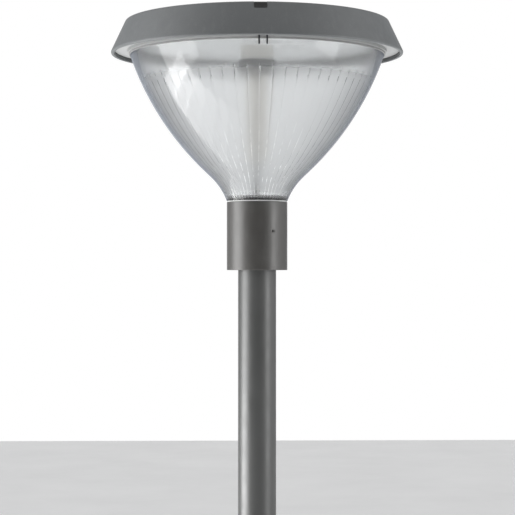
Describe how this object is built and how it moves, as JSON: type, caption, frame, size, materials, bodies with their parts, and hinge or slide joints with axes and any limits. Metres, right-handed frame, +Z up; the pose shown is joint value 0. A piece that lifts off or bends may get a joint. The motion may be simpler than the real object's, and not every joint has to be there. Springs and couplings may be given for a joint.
{
  "type": "street lamp post",
  "caption": "Stepped steel lamp post with an access door, carrying a clear fluted bowl under a hinged canopy that holds the lamp and its gear.",
  "frame": {"origin": "centre of the base plate's underside, on the post's axis", "axes": "+Z up along the post; -Y is the front, with the access door and the canopy's latch; the canopy's hinge is at +Y"},
  "size_m": [0.583, 0.596, 3.9094],
  "materials": {
    "post_paint": "satin",
    "collar_paint": "satin",
    "canopy_paint": "satin",
    "white_enamel": "gloss",
    "gear_steel": "matt",
    "galvanised": "dull",
    "stainless": "brushed",
    "spring_steel": "blued",
    "dark_screws": "matt",
    "gear_aluminium": "satin",
    "brass": "plain",
    "black_rubber": "matt",
    "pale_rubber": "matt",
    "cable_sheath": "matt",
    "black_plastic": "satin",
    "dark_plastic": "matt",
    "grey_plastic": "matt",
    "white_plastic": "matt",
    "board_laminate": "matt",
    "ceramic_white": "glazed",
    "burner_ceramic": "plain",
    "clear_bowl": "clear",
    "lamp_glass": "clear"
  },
  "bodies": {
    "post": {"base_plate": "post_paint", "lower_shaft": "post_paint", "base_weld": "post_paint", "swaged_shoulder": "post_paint", "centring_ring": "galvanised", "upper_shaft": "post_paint", "shaft_grommet": "black_rubber", "door_frame": "galvanised", "backboard": "board_laminate", "board_studs": "stainless", "fuse_box": "grey_plastic", "cable_glands": "grey_plastic", "earth_stud": "brass", "lantern_lead": "cable_sheath", "post_collar": "collar_paint", "clamp_screws": "dark_screws", "neck_seal": "pale_rubber", "bowl": "clear_bowl", "neck_clamp_ring": "collar_paint", "neck_screws": "stainless", "supply_conduit": "stainless", "supply_socket": "white_plastic", "rim_seal": "black_rubber", "rim_ring": "white_enamel", "canopy_seal": "black_rubber", "hinge_lugs": "canopy_paint", "hinge_pin": "stainless"},
    "door": {"access_door": "post_paint"},
    "lock": {"lock_bolt": "stainless", "lock_bar": "galvanised", "lock_nut": "stainless"},
    "fuse_left": {"fuse_carrier_left": "white_plastic"},
    "fuse_right": {"fuse_carrier_right": "white_plastic"},
    "canopy": {"hinge_leaf": "canopy_paint", "leaf_screws": "stainless", "canopy_shell": "canopy_paint", "gear_tray": "white_enamel", "tray_spacers": "galvanised", "tray_screws": "stainless", "ballast": "gear_steel", "ignitor": "grey_plastic", "capacitor": "gear_aluminium", "capacitor_clip": "galvanised", "terminal_block": "white_plastic", "supply_plug": "white_plastic", "lampholder": "ceramic_white", "lampholder_shroud": "dark_plastic", "latch_bracket": "stainless"},
    "lamp": {"lamp_cap": "brass", "lamp_bulb": "lamp_glass", "lamp_burner": "burner_ceramic"},
    "latch": {"latch_lever": "black_plastic", "latch_prongs": "spring_steel"}
  },
  "joints": [
    {"name": "canopy_hinge", "type": "hinge", "parent": "post", "child": "canopy", "pos_m": [0, 0.299, 3.834], "axis": [-1, 0, 0], "range_deg": [0, 95], "deforming": ["latch_prongs"]},
    {"name": "latch_press", "type": "hinge", "parent": "canopy", "child": "latch", "pos_m": [0, -0.26455, 3.86544], "axis": [-1, 0, 0], "range_deg": [0, 5], "stiffness_Nm_per_rad": 1},
    {"name": "door_lift_off", "type": "slide", "parent": "post", "child": "door", "axis": [0, -1, 0], "range_m": [0, 0.12]},
    {"name": "door_lock_turn", "type": "hinge", "parent": "door", "child": "lock", "pos_m": [0, -0.06, 0.6], "axis": [0, -1, 0], "range_deg": [0, 90]},
    {"name": "fuse_left_pull", "type": "slide", "parent": "post", "child": "fuse_left", "axis": [0, -1, 0], "range_m": [0, 0.03]},
    {"name": "fuse_right_pull", "type": "slide", "parent": "post", "child": "fuse_right", "axis": [0, -1, 0], "range_m": [0, 0.03]},
    {"name": "lamp_unscrew", "type": "slide", "parent": "canopy", "child": "lamp", "axis": [0, 0, -1], "range_m": [0, 0.045]}
  ]
}
